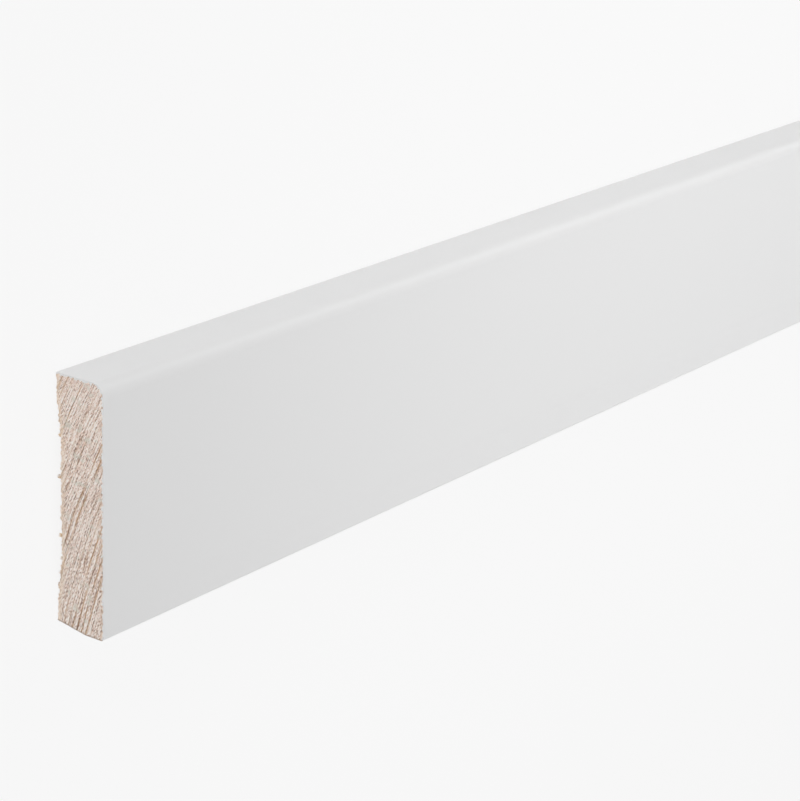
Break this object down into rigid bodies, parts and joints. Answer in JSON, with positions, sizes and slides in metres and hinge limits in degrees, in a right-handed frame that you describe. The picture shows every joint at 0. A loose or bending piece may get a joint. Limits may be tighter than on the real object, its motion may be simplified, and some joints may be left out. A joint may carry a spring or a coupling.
{
  "type": "skirting board length",
  "caption": "Straight length of white-painted pine skirting board with a rounded top front edge, flat face, undercut foot, shallow relief in the back and square sawn ends.",
  "frame": {"origin": "on the plane of the back lands, midway along the board and midway between its floor edge and its top edge", "axes": "+X along the length, +Y from the floor edge to the rounded top edge, +Z out of the painted face; the board lies flat on its back"},
  "size_m": [2.4, 0.056, 0.013],
  "materials": {
    "white_painted_pine": "white satin paint on the face, nose, top edge and foot, bare pine on the back and the sawn ends"
  },
  "bodies": {
    "root": {"skirting_board": "white_painted_pine"}
  },
  "joints": []
}
